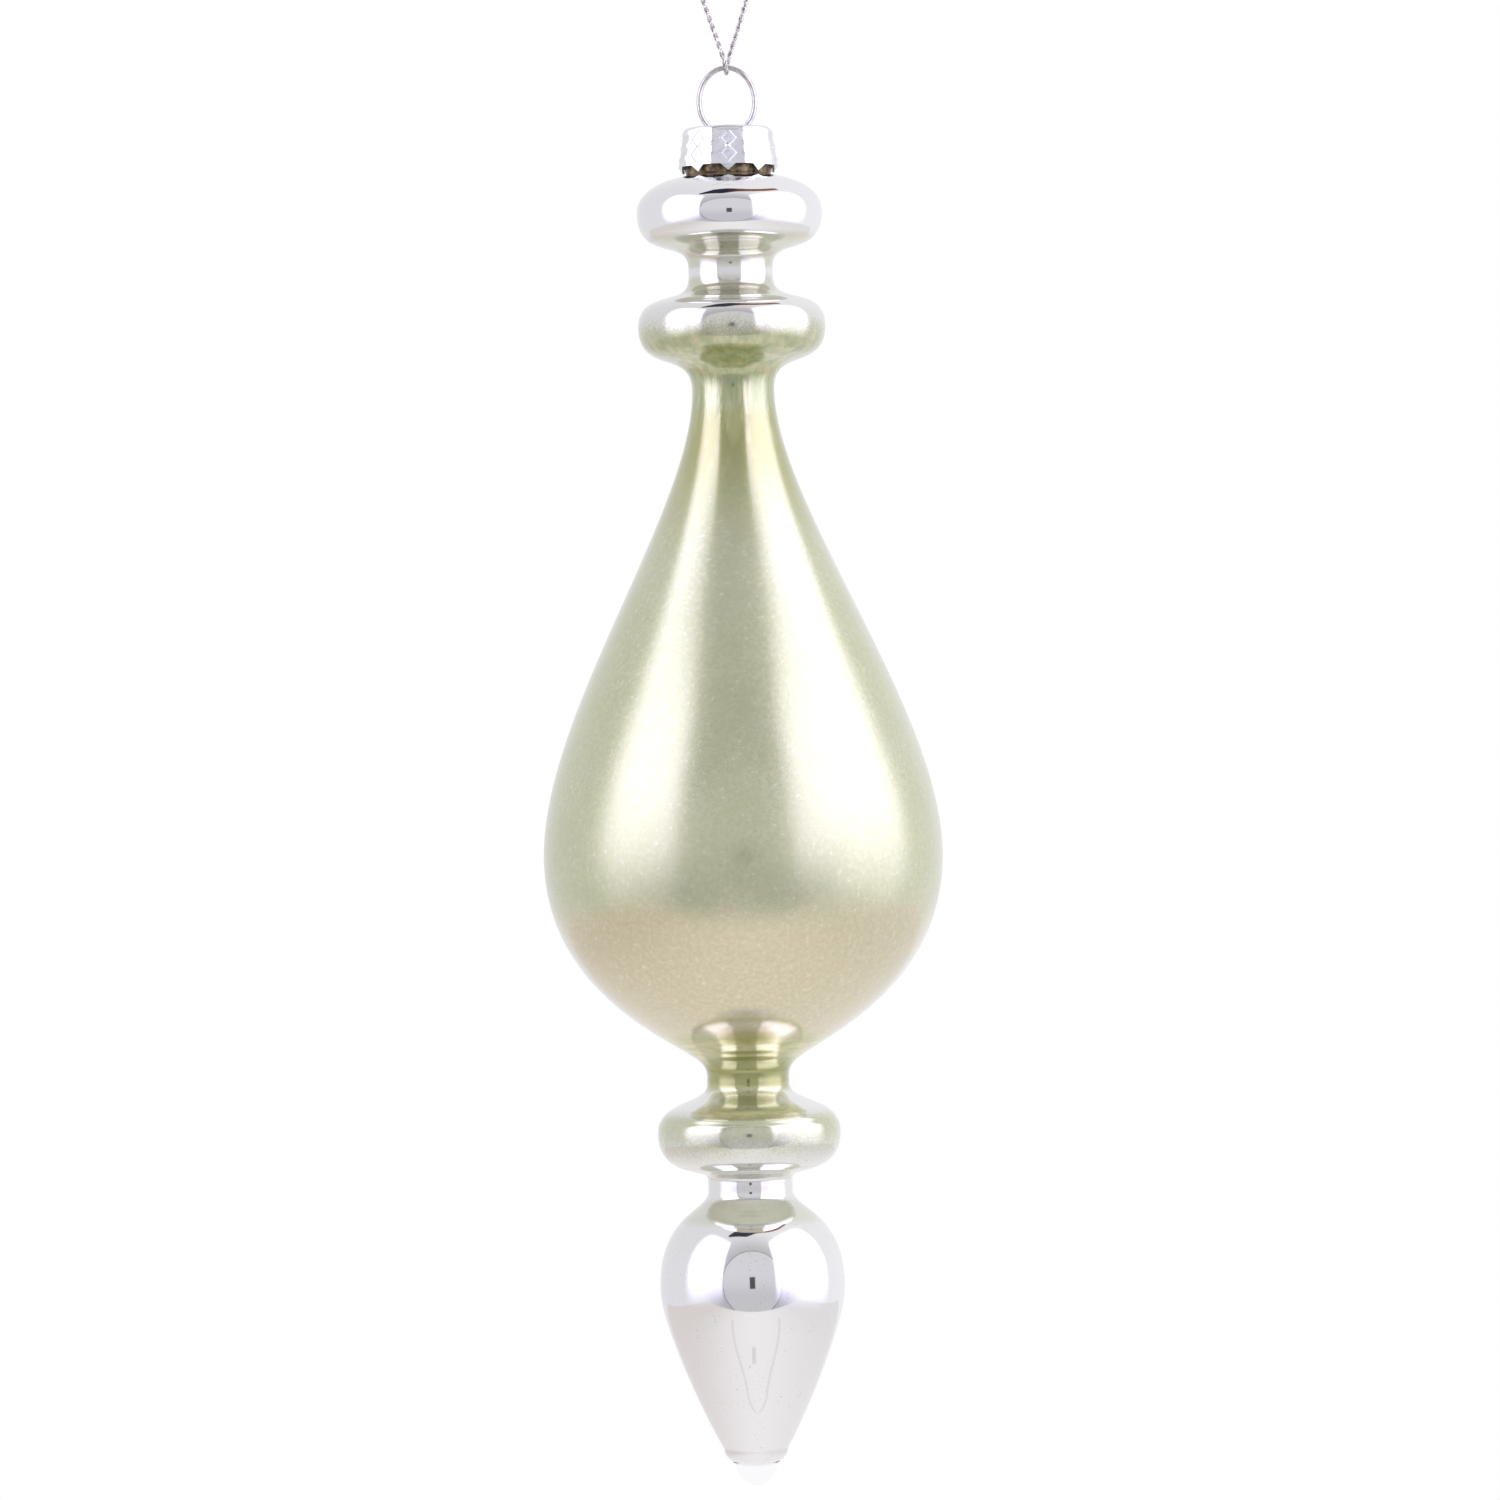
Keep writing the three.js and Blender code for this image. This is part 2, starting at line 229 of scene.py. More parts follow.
def two_ply(line, at, phase=0.0, opens_by=0.0):
    """Two plies twisted round the line, each a fine tube; opens_by spreads them at the line's end."""
    normals, others = frames_along(line)
    verts, faces = [], []
    near_end = np.clip((at - at[-1] + TAIL_OPENS_OVER) / TAIL_OPENS_OVER, 0, 1)
    offset = PLY_OFFSET + opens_by * near_end**2
    for ply in range(2):
        turn = FULL_TURN * at / LAY_LENGTH + math.pi * ply + phase
        aside = np.cos(turn)[:, None] * normals + np.sin(turn)[:, None] * others
        add_to(verts, faces, tube(line + offset[:, None] * aside, PLY_RADIUS, PLY_SIDES))
    return verts, faces


def make_thread():
    """The loop of thread, with its line and its length in metres."""
    back_route = [(-x, -y, z) for x, y, z in reversed(FRONT_ROUTE)]
    line, at = spaced(catmull([*FRONT_ROUTE, LOWEST, *back_route], fine=24), THREAD_STEP)
    thread = link_mesh("thread_loop", *two_ply(line, at))
    return thread, line * MM, at[-1] * MM


def make_knot():
    """An overhand knot's two wraps, each running on into its own short tail."""
    verts, faces = [], []
    start_x, _, start_z = FRONT_ROUTE[0]
    for side in (-1, 1):
        points = [(-side * start_x, 0, start_z)]
        for k in range(WRAP_STEPS + 1):
            share = k / WRAP_STEPS
            turn = share * WRAP_TURNS * FULL_TURN
            x = side * WRAP_RADII[0] * math.cos(turn)
            y = side * WRAP_RADII[1] * math.sin(turn)
            points.append((x, y, WRAP_FOOT + WRAP_RISE * share))
        points += [(side * x, side * y, z) for x, y, z in TAIL]
        line, at = spaced(catmull(points, fine=10), THREAD_STEP)
        add_to(verts, faces, two_ply(line, at, phase=side, opens_by=TAIL_OPENS_BY))
    return link_mesh("thread_knot", verts, faces)


thread, thread_line, thread_length = make_thread()
knot = make_knot()
for piece, node in ((thread, "hanging_cord"), (knot, "cord_knot")):
    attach(piece, "cord")
    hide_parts(node)


# ---------------------------------------------------------------- glass
# Heights and radii that the CAD source has too.
CROWN_Z = -58.55
RIM_Z = -59.38
SHOULDER_Z = -66.3
WALL = 1.0
RIM_RADIUS = 6.2
DISC_NECK = 6.75
BODY_NECK = 6.57
MOUTH_WIDENS = 0.67  # the share of the stub's length over which it widens

# A bead's radius, its rise to the neck above and its fall to the neck below. Then its curve's handles, as
# shares of rise and fall: at the neck above, above and below the widest place, and at the neck below.
BEADS = {
    "upper_disc": (14.81, 5.87, 8.76, (0.02, 0.87, 0.87, 0.57)),
    "middle_disc": (14.98, 7.9, 10.11, (0.63, 0.82, 0.74, 0.67)),
    "teardrop": (31.9, 74.48, 34.02, (0.25, 0.31, 0.715, 0.083)),
    "lower_disc": (14.62, 6.63, 7.47, (0.3, 0.92, 0.98, 0.285)),
    "small_drop": (14.83, 15.6, 28.22, (0.195, 0.784, 0.21, 0.053)),
}
UPPER_NECK = 1.59
LOWER_NECK = 3.64
DROP_NECK = 1.95
TIP_RADIUS = 3.2
TIP_LENGTH = 3.2
TIP_END = 1.4
DROP_END_SLOPE = 1.5
SILVER_END_Z = -269.9
SILVER_FOOT_Z = -272.6

# Points on a straight neck, on one side of a bead and on the tip, before they are spaced anew.
NECK_POINTS = 20
BEAD_POINTS = 300
TIP_POINTS = 200

# Where the glass flows on without a corner: top, foot and spread.
LOWER_NECK_EASE = (-201.5, -218.2, 0.85)
DROP_EASE = (-239.5, -256.0, 1.4)
EASE_STEP = 0.02
EASE_REACH = 200  # steps on each side that are averaged
EASE_STARTS_OVER = 2.5
EASE_ENDS_OVER = 1.5

# Fine rings left in the glass where it was necked in: top, foot, pitch and height.
RIPPLES = (
    (-75.6, -79.6, 0.95, 0.028),
    (-83.2, -86.4, 1.3, 0.035),
    (-96.6, -98.6, 1.1, 0.06),
    (-204.6, -208.2, 1.15, 0.05),
    (-209.2, -212.8, 1.9, 0.06),
    (-214.4, -218.6, 1.1, 0.06),
    (-224.6, -227.4, 0.95, 0.05),
    (-230.2, -232.6, 1.2, 0.04),
)

# Distance between the rings of points: on plain glass, and on the fine rings and the end of the drop.
RING_STEP = 0.5
FINE_RING_STEP = 0.14
FINE_ABOVE_END = 1.0

# The hollow's mouth, and its floor inside the drop, which is slightly cupped.
LIP_GAP = 0.05
NARROWEST = 0.05
FLOOR_DROP = 0.6
FLOOR_CUP = (0.6, 0.15)  # the share of the radius it starts at, and its depth
TIP_OVERLAP = (0.3, 0.1)
TIP_GAP = 0.02
SILVER_END_STEPS = 15
SILVER_END_FULLNESS = 0.75  # 1 makes its end a half ellipse, and less makes it blunter


def bezier(points, count):
    """Points of a cubic curve, without its first one."""
    a, b, c, d = (np.array(p, float) for p in points)
    t = (np.arange(1, count + 1) / count)[:, None]
    return a * (1 - t) ** 3 + 3 * b * t * (1 - t) ** 2 + 3 * c * t**2 * (1 - t) + d * t**3


def glass_outline():
    """The outside of the glass from its mouth to its tip: (radius, height) and the direction there."""
    places = [np.array([[RIM_RADIUS, RIM_Z]])]
    z = RIM_Z

    def curve(*points, count):
        places.append(bezier(points, count))

    def neck(radius, length, count):
        nonlocal z
        start = places[-1][-1]
        end = np.array([radius, z - length])
        curve(start, start + (end - start) / 3, start + 2 * (end - start) / 3, end, count=count)
        z -= length

    def top(bead, neck_radius, count=BEAD_POINTS):
        nonlocal z
        radius, rise, _, (at_neck, above, _, _) = BEADS[bead]
        wide = (radius, z - rise)
        over = (radius, z - rise + rise * above)
        curve((neck_radius, z), (neck_radius, z - rise * at_neck), over, wide, count=count)
        z -= rise

    def foot(bead, neck_radius, count=BEAD_POINTS):
        nonlocal z
        radius, _, fall, (_, _, below, at_neck) = BEADS[bead]
        end = (neck_radius, z - fall)
        over = (neck_radius, z - fall + fall * at_neck)
        curve((radius, z), (radius, z - fall * below), over, end, count=count)
        z -= fall

    stub = RIM_Z - SHOULDER_Z
    neck(DISC_NECK, stub * MOUTH_WIDENS, 2 * NECK_POINTS)
    neck(DISC_NECK, stub * (1 - MOUTH_WIDENS), NECK_POINTS)
    top("upper_disc", DISC_NECK)
    foot("upper_disc", DISC_NECK)
    neck(DISC_NECK, UPPER_NECK, 2 * NECK_POINTS)
    top("middle_disc", DISC_NECK)
    foot("middle_disc", BODY_NECK)
    top("teardrop", BODY_NECK, 3 * BEAD_POINTS)
    foot("teardrop", BODY_NECK, 3 * BEAD_POINTS)
    neck(BODY_NECK, LOWER_NECK, 3 * NECK_POINTS)
    top("lower_disc", BODY_NECK)
    foot("lower_disc", DISC_NECK)
    neck(DISC_NECK, DROP_NECK, 2 * NECK_POINTS)
    top("small_drop", DISC_NECK)
    radius, _, fall, (_, _, below, at_tip) = BEADS["small_drop"]
    end, lead = z - fall, fall * at_tip
    slanted = (TIP_RADIUS + lead * DROP_END_SLOPE, end + lead)
    curve((radius, z), (radius, z - fall * below), slanted, (TIP_RADIUS, end), count=2 * BEAD_POINTS)
    low = end - TIP_LENGTH
    curve((TIP_RADIUS, end), (TIP_RADIUS, end - TIP_LENGTH / 2), (TIP_END, low), (0, low), count=TIP_POINTS)
    return rippled(eased(eased(np.concatenate(places), *LOWER_NECK_EASE), *DROP_EASE))


def eased(line, high, low, spread):
    """The outline with its radius smoothed between two heights, over about the spread's length each way."""
    margin = EASE_REACH * EASE_STEP
    heights = np.arange(high + margin, low - margin, -EASE_STEP)
    radii = np.interp(-heights, -line[:, 1], line[:, 0])
    kernel = np.exp(-0.5 * (np.arange(-EASE_REACH, EASE_REACH + 1) * EASE_STEP / spread) ** 2)
    smooth = np.convolve(np.pad(radii, EASE_REACH, mode="edge"), kernel / kernel.sum(), mode="valid")
    starts = np.clip((high - heights) / EASE_STARTS_OVER, 0, 1)
    ends = np.clip((heights - low) / EASE_ENDS_OVER, 0, 1)
    radii = radii + (smooth - radii) * starts * ends
    inside = (line[:, 1] < high) & (line[:, 1] > low)
    line[inside, 0] = np.interp(-line[inside, 1], -heights, radii)
    return line


def rippled(line):
    """The outline with its fine rings, and with closer points there; gives points and directions."""
    near = line[:, 1] < SILVER_END_Z + FINE_ABOVE_END
    for high, low, pitch, height in RIPPLES:
        down, up = high - line[:, 1], line[:, 1] - low
        inside = np.clip(down / pitch, 0, 1) * np.clip(up / pitch, 0, 1)
        line[:, 0] -= height * inside * (1 - np.cos(FULL_TURN * down / pitch)) / 2
        near = near | (inside > 0)
    lengths = np.linalg.norm(np.diff(line, axis=0), axis=1)
    rings = np.concatenate([[0], np.cumsum(lengths / np.where(near[1:], FINE_RING_STEP, RING_STEP))])
    at = np.linspace(0, rings[-1], int(rings[-1]) + 1)
    line = np.stack([np.interp(at, rings, line[:, k]) for k in range(2)], axis=1)
    way = np.gradient(line, axis=0)
    return line, way / np.linalg.norm(way, axis=1)[:, None]


def arc(centre, radius, start, stop, count):
    """Points on a circle, by its angles in degrees."""
    angles = np.radians(np.linspace(start, stop, count))
    return np.stack([centre[0] + radius * np.cos(angles), centre[1] + radius * np.sin(angles)], axis=1)


def make_glass():
    """The mirrored shell with its open mouth, and the clear solid end round the rounded end of its silver."""
    place, way = glass_outline()
    silver = place[:, 1] > SILVER_END_Z
    outer = place[silver]
    inner = outer + WALL * np.stack([way[silver][:, 1], -way[silver][:, 0]], axis=1)
    inner[:, 0] = np.maximum(inner[:, 0], NARROWEST)

    last_radius, last_z = outer[-1]
    deep = last_z - SILVER_FOOT_Z
    silver_end = []
    for k in range(1, SILVER_END_STEPS):
        turn = k / SILVER_END_STEPS * math.pi / 2
        radius = last_radius * math.cos(turn) ** SILVER_END_FULLNESS
        silver_end.append((radius, last_z - deep * math.sin(turn)))
    silver_end.append((0, SILVER_FOOT_Z))

    lip_radius = WALL / 2
    lip = arc((RIM_RADIUS - lip_radius, RIM_Z - lip_radius), lip_radius, start=180, stop=0, count=11)
    under_lip = RIM_Z - lip_radius - LIP_GAP
    upper = outer[outer[:, 1] < under_lip]
    hollow = inner[inner[:, 1] < under_lip][::2]  # unseen, so half of its rings will do
    hollow_radius, hollow_z = hollow[-1]
    floor_z = hollow_z - FLOOR_DROP
    floor = [(0, floor_z), (hollow_radius * FLOOR_CUP[0], floor_z + FLOOR_CUP[1])]
    profile = [*floor, *hollow[::-1], *lip, *upper, *silver_end]
    shell = lathe("glass_shell", profile, segments=160)

    below = place[place[:, 1] <= last_z - TIP_GAP]
    start = (last_radius - TIP_OVERLAP[0], last_z + TIP_OVERLAP[1])
    tip = lathe("clear_tip", [start, *below[:-1], (0, below[-1][1])], segments=96)
    return shell, tip


shell, tip = make_glass()
for piece, kind in ((shell, "mirrored_glass"), (tip, "clear_glass")):
    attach(piece, "ornament")
    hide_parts("glass_body")


# ---------------------------------------------------------------- wire
WIRE_RADIUS = 0.4
WIRE_END_RADIUS = 0.3
WIRE_STEP = 0.22
WIRE_SIDES = 20
EYE_WIDTH = 8.9
EYE_HEIGHT = 10.9
EYE_TOP = 9.55
EYE_POINTS = 15
EYE_CENTRE = EYE_TOP - EYE_HEIGHT / 2
EYE_LOW = math.asin(EYE_CENTRE / (EYE_HEIGHT / 2))
EYE_FOOT = EYE_WIDTH / 2 * math.cos(EYE_LOW)

# A leg from its end up: how far inside its widest line, and the height above the cap's crown.
LEG = ((1.1, -13.2), (1.1 / 3, -12.1), (0, -9.7), (0.125, -6.2))
LEG_CLEARANCE = 0.3
WAIST_IN = 0.5
WAIST_HEIGHT = -1.3


def make_wire():
    """The elliptical eye above the cap and the two sprung legs inside the neck, in one bent wire."""
    leg_x = RIM_RADIUS - WALL - LEG_CLEARANCE - WIRE_RADIUS
    leg = [(leg_x - inside, 0, height) for inside, height in LEG]
    leg.append((EYE_FOOT - WAIST_IN, 0, WAIST_HEIGHT))
    eye = []
    for i in range(EYE_POINTS):
        angle = -EYE_LOW + i / (EYE_POINTS - 1) * (math.pi + 2 * EYE_LOW)
        eye.append((EYE_WIDTH / 2 * math.cos(angle), 0, EYE_CENTRE + EYE_HEIGHT / 2 * math.sin(angle)))
    route = [*leg, *eye, *[(-x, y, z) for x, y, z in reversed(leg)]]
    line, _ = spaced(catmull(route, fine=16), WIRE_STEP)
    line[:, 2] += CROWN_Z
    radii = np.full(len(line), WIRE_RADIUS)
    radii[[0, -1]] = WIRE_END_RADIUS
    return link_mesh("wire_eye", *tube(line, radii, WIRE_SIDES))


wire = make_wire()
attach(wire, "hanger")
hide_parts("wire_hanger")


# ---------------------------------------------------------------- cap
# Depths are measured down from the crown, and the radii are those of the corners between the panels.
PANELS = 9
PANEL_COLUMNS = 44
SHEET = 0.35
CAP_DEPTH = 6.4
HALF = math.pi / PANELS
TOP_CLEARANCE = 0.35
SKIRT_CLEARANCE = 0.6
TOP_RADIUS = (RIM_RADIUS + TOP_CLEARANCE + SHEET) / math.cos(HALF)
SKIRT_RADIUS = (DISC_NECK + SKIRT_CLEARANCE + SHEET) / math.cos(HALF)
DOME = 0.18
SHOULDER_DROP = 1.0
SHOULDER_WIDTH = 0.95
CROWN_RADIUS = TOP_RADIUS - SHOULDER_WIDTH
SKIRT_START = CAP_DEPTH - 0.45
TOOTH = 1.05
TOOTH_HALF = 1.25
TOOTH_CURVE = 0.9
TOOTH_TURNS_IN = 0.25
TOOTH_TURN_CURVE = 1.5
SHOULDER_CURVE = 1.5  # how late the round crown turns into nine sides
FLARE_CURVE = 1.2
CORNER_ROUNDING = (0.07, 0.035)  # how much it takes off, and over what angle
CAP_ROWS = (("crown", 11), ("shoulder", 10), ("wall", 61), ("skirt", 7))
HOLE_RADIUS = 0.95
HOLE_INSIDE_EYE = 0.125
DRILL_REACH = 2

# The pressed pattern on each panel: diamonds with a raised edge, and beads along the corners.
DIAMONDS = (2.28, 4.72)
DIAMOND_HALF = (1.15, 1.22)
DIAMOND_HEIGHT = 0.12
DIAMOND_EDGE = 0.23
DIAMOND_SLOPE_STARTS = 0.3
BEAD_DEPTHS = (0.95, 3.1, 5.0)
BEAD_HEIGHT = 0.15
BEAD_SPREAD = 0.3
BEAD_SQUAT = 0.9


def relief(across, depth, half_width):
    """How far the pressed pattern stands out at a distance across a panel and a depth below the crown."""
    out = 0.0
    for centre in DIAMONDS:
        edge = abs(across) / DIAMOND_HALF[0] + abs(depth - centre) / DIAMOND_HALF[1] - 1
        out += DIAMOND_HEIGHT * math.exp(-((edge / DIAMOND_EDGE) ** 2))
        out += DIAMOND_HEIGHT * max(0.0, -edge - DIAMOND_SLOPE_STARTS)
    for centre in BEAD_DEPTHS:
        far = math.hypot(half_width - abs(across), (depth - centre) * BEAD_SQUAT)
        out += BEAD_HEIGHT * math.exp(-((far / BEAD_SPREAD) ** 2))
    return out


def flat_side(corner_radius, off):
    """The radius of a flat panel at an angle from its middle."""
    return corner_radius * math.cos(HALF) / math.cos(off)


def panel_point(part, share, off):
    """Radius and depth of a point on a wall's panel or its skirt, at an angle from the panel's middle."""
    if part == "wall":
        depth = SHOULDER_DROP + (SKIRT_START - SHOULDER_DROP) * share
    else:
        across = SKIRT_RADIUS * math.sin(off)
        tooth = TOOTH * max(0.0, 1 - abs(across) / TOOTH_HALF) ** TOOTH_CURVE
        depth = SKIRT_START + (CAP_DEPTH - SKIRT_START + tooth) * share
    down = min(1.0, (depth - SHOULDER_DROP) / (CAP_DEPTH - SHOULDER_DROP))
    flat = flat_side(TOP_RADIUS + (SKIRT_RADIUS - TOP_RADIUS) * down**FLARE_CURVE, off)
    takes_off, angle = CORNER_ROUNDING
    radius = flat - takes_off * math.exp(-(((HALF - abs(off)) / angle) ** 2))
    radius += relief(math.sin(off) * flat, depth, math.sin(HALF) * flat)
    if part == "skirt":
        radius -= TOOTH_TURNS_IN * max(0.0, depth - CAP_DEPTH) ** TOOTH_TURN_CURVE
    return radius, depth


def cap_point(part, share, off, inset):
    """Radius and height of a point on the cap's outside, or on its inside with the sheet as inset.

    The point lies at a share of the way down a part, and at an angle from the middle of its panel.
    """
    if part == "crown":
        radius, depth, outwards = CROWN_RADIUS * share, DOME * share**2, 0.0
    elif part == "shoulder":
        bend = share * math.pi / 2
        outwards = math.sin(bend)
        edge = CROWN_RADIUS + SHOULDER_WIDTH * outwards
        radius = edge + (flat_side(edge, off) - edge) * share**SHOULDER_CURVE
        depth = DOME + (SHOULDER_DROP - DOME) * (1 - math.cos(bend))
    else:
        radius, depth = panel_point(part, share, off)
        outwards = 1.0
    return radius - inset * outwards, CROWN_Z - depth - inset * (1 - outwards)


def cap_faces(rows, columns):
    """Faces of the cap's outside and inside, whose centre points come first, and of the edge between."""
    faces = []
    per_skin = 1 + rows * columns
    low = 1 + (rows - 1) * columns
    sides = [(c, (c + 1) % columns) for c in range(columns)]
    for centre in (0, per_skin):
        for c, d in sides:
            faces.append((centre, centre + 1 + c, centre + 1 + d))
            for row in range(rows - 1):
                a = centre + 1 + row * columns
                faces.append((a + c, a + columns + c, a + columns + d, a + d))
    faces.extend((low + c, low + d, per_skin + low + d, per_skin + low + c) for c, d in sides)
    return faces


def drill(piece, x):
    """Cuts a round hole through the cap's crown, for one leg of the wire."""
    drill_bit = [(0, DRILL_REACH), (HOLE_RADIUS, DRILL_REACH), (HOLE_RADIUS, -DRILL_REACH), (0, -DRILL_REACH)]
    hole = lathe("hole", drill_bit, segments=40)
    hole.data.transform(Matrix.Translation((x * MM, 0, CROWN_Z * MM)))
    cut = piece.modifiers.new("hole", "BOOLEAN")
    cut.operation = "DIFFERENCE"
    cut.solver = "EXACT"
    cut.object = hole
    bpy.context.view_layer.update()
    shaped = piece.evaluated_get(bpy.context.evaluated_depsgraph_get())
    mesh = bpy.data.meshes.new_from_object(shaped)
    piece.modifiers.clear()
    piece.data = mesh
    bpy.data.objects.remove(hole)


def make_cap():
    """The stamped cap: a domed crown, a rounded shoulder, nine flaring panels and their teeth."""
    rows = [(part, k / count) for part, count in CAP_ROWS for k in range(1, count + 1)]
    columns = PANELS * PANEL_COLUMNS
    verts = []
    for inset in (0.0, SHEET):
        verts.append((0, 0, CROWN_Z - inset))
        for part, share in rows:
            for c in range(columns):
                panel, step = divmod(c, PANEL_COLUMNS)
                off = (step / PANEL_COLUMNS - 0.5) * 2 * HALF
                angle = -math.pi / 2 + panel * 2 * HALF + off
                radius, z = cap_point(part, share, off, inset)
                verts.append((radius * math.cos(angle), radius * math.sin(angle), z))
    cap = link_mesh("stamped_cap", verts, cap_faces(len(rows), columns))
    for side in (-1, 1):
        drill(cap, side * (EYE_FOOT - HOLE_INSIDE_EYE))
    cap.data.polygons.foreach_set("use_smooth", [True] * len(cap.data.polygons))
    cap.data.set_sharp_from_angle(angle=math.radians(50))
    return cap


cap = make_cap()
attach(cap, "hanger")
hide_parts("cap")


# ---------------------------------------------------------------- materials
class Nodes:
    """Short ways to add nodes to the tree of a material, a light or the world.

    A value is a number, a colour or another node's output. Inputs are given by their name or number.
    """

    def __init__(self, owner, empty=False):
        owner.use_nodes = True
        self.owner = owner
        self.tree = owner.node_tree
        if empty:
            self.tree.nodes.clear()

    def put(self, node, name, value):
        """Sets one input of a node."""
        socket = node.inputs[name]
        if isinstance(value, bpy.types.NodeSocket):
            self.tree.links.new(value, socket)
        elif socket.type == "RGBA":
            socket.default_value = (*value, 1)
        else:
            socket.default_value = value

    def node(self, kind, inputs=None, **settings):
        """A new node with these inputs and settings."""
        node = self.tree.nodes.new(kind)
        for name, value in settings.items():
            setattr(node, name, value)
        for name, value in (inputs or {}).items():
            self.put(node, name, value)
        return node

    def math(self, operation, first, *others):
        """One operation over all the values, from left to right."""
        for other in others:
            first = self.node("ShaderNodeMath", {0: first, 1: other}, operation=operation).outputs[0]
        return first

    def plus(self, *values):
        return self.math("ADD", *values)

    def minus(self, *values):
        return self.math("SUBTRACT", *values)

    def times(self, *values):
        return self.math("MULTIPLY", *values)

    def most(self, *values):
        return self.math("MAXIMUM", *values)

    def away(self, value, place):
        """The distance of a value from a place, to either side."""
        return self.node("ShaderNodeMath", {0: self.minus(value, place)}, operation="ABSOLUTE").outputs[0]

    def centred(self, value, amount):
        """A noise's value about zero, from minus to plus half the amount."""
        return self.times(self.minus(value, 0.5), amount)

    def ramp(self, value, low, high, to_low=0.0, to_high=1.0, kind="SMOOTHSTEP"):
        inputs = {"Value": value, "From Min": low, "From Max": high, "To Min": to_low, "To Max": to_high}
        return self.node("ShaderNodeMapRange", inputs, interpolation_type=kind).outputs["Result"]

    def mix(self, share, a, b):
        """Colour a where the share is 0, and b where it is 1."""
        return self.node("ShaderNodeMix", {0: share, 6: a, 7: b}, data_type="RGBA").outputs[2]

    def mix_value(self, share, a, b):
        """Number a where the share is 0, and b where it is 1."""
        return self.node("ShaderNodeMix", {0: share, 2: a, 3: b}, data_type="FLOAT").outputs[0]

    def place(self):
        return self.node("ShaderNodeTexCoord").outputs["Object"]

    def split(self, vector):
        return self.node("ShaderNodeSeparateXYZ", {0: vector}).outputs

    def stretch(self, vector, scale):
        return self.node("ShaderNodeMapping", {"Vector": vector, "Scale": scale}).outputs["Vector"]

    def noise(self, vector, scale, detail, rough):
        inputs = {"Vector": vector, "Scale": scale, "Detail": detail, "Roughness": rough}
        return self.node("ShaderNodeTexNoise", inputs).outputs["Fac"]

    def bump(self, height, strength, distance):
        inputs = {"Height": height, "Strength": strength, "Distance": distance}
        return self.node("ShaderNodeBump", inputs).outputs["Normal"]

    def surface(self, **values):
        """Sets inputs of the Principled shader, written with _ for a space in their names."""
        shader = self.tree.nodes["Principled BSDF"]
        for name, value in values.items():
            self.put(shader, name.replace("_", " "), value)

    def seen_straight(self):
        """1 where the camera looks, straight or through clear glass, and 0 in what is mirrored or lit."""
        rays = self.node("ShaderNodeLightPath").outputs
        return self.most(rays["Is Camera Ray"], rays["Is Transmission Ray"])


# Colours of the glass, darker and lighter where there are two.
SILVER = (0.875, 0.875, 0.89)
LACQUER = ((0.48, 0.51, 0.28), (0.55, 0.572, 0.345))
LACQUER_CLOUD = (0.465, 0.495, 0.27)
LACQUER_AT_TOP = (0.305, 0.31, 0.035)
# A painted reflection: the warm, lighter lacquer below the belly stands in for the pale table mirrored there.
LACQUER_PAINTED_TABLE_REFLECTION = ((0.585, 0.54, 0.335), (0.665, 0.615, 0.41))
PEARL_FLECK = (0.86, 0.86, 0.74)
OLIVE = ((0.26, 0.32, 0.09), (0.47, 0.48, 0.21))
GOLD = ((0.43, 0.455, 0.14), (0.64, 0.6, 0.26))
# Round the lower neck's waist the darker gold is thicker lacquer and in part painted shade; the pale colour
# at its foot is in part a painted highlight.
DEEP_GOLD_AND_SHADE = (0.29, 0.31, 0.06)
NECK_FOOT_HIGHLIGHT = (0.92, 0.91, 0.78)
DRIP = (0.52, 0.5, 0.22)
RUST = (0.5, 0.42, 0.33)
DUST = (0.7, 0.67, 0.63)
RUN_AND_DASH_GREY = (0.42, 0.42, 0.44)
MOUTH = ((0.05, 0.036, 0.012), (0.33, 0.245, 0.105))

# Heights on the glass between which one finish turns into another, in metres.
SPRAY_FADES_ABOVE = (-0.0965, -0.086)
SPRAY_FADES_BELOW = (-0.2275, -0.2135)
SPRAY_STARTS = (-0.074, -0.0785)
SPRAY_ENDS = (-0.241, -0.2335)
GREEN_DEEPENS = (-0.13, -0.108)
DRIPS_START = (-0.13, -0.1)
# Where the painted reflection of the table starts below the belly, and where it ends above the lower neck.
TABLE_REFLECTION_STARTS = (-0.179, -0.187)
TABLE_REFLECTION_ENDS = (-0.2062, -0.2022)
RUST_GROWS = (-0.2, -0.218)
DUST_GROWS = (-0.215, -0.222)
GLOSS_GROWS_UP = (-0.16, -0.11)
GLOSS_GROWS_DOWN = (-0.182, -0.194)
COAT_GLOSS_GROWS_UP = (-0.16, -0.12)
COAT_GLOSS_GROWS_DOWN = (-0.194, -0.18)
COAT_BRIGHTENS = (-0.15, -0.115)
GRAIN_STARTS = (-0.194, -0.182)
MOUTH_RING = (-0.0668, -0.0663)

# Bands of the glass, in metres: foot, top, and how soft each end is.
UPPER_NECK_BAND = (-0.104, -0.0925, 0.0016)
LOWER_NECK_BAND = (-0.2122, -0.2035, 0.0012)
# On the lower neck: the band of darker gold with painted shade, the band of the painted highlight, and the
# band where the spray is thinner under it.
DEEP_GOLD_SHADE_BAND = (-0.2118, -0.2075, 0.0012)
NECK_FOOT_HIGHLIGHT_BAND = (-0.2155, -0.2126, 0.0006)
THIN_SPRAY_AND_HIGHLIGHT_BAND = (-0.2164, -0.2124, 0.0009)
STAINED_RIMS = (
    (-0.0812, -0.0762, 0.0006),
    (-0.0862, -0.0826, 0.0006),
    (-0.2262, -0.2243, 0.0004),
    (-0.2335, -0.2298, 0.0008),
)
WRINKLED_BAND = (-0.107, -0.0985, 0.0015)
BELLY_BAND = (-0.186, -0.162, 0.012)
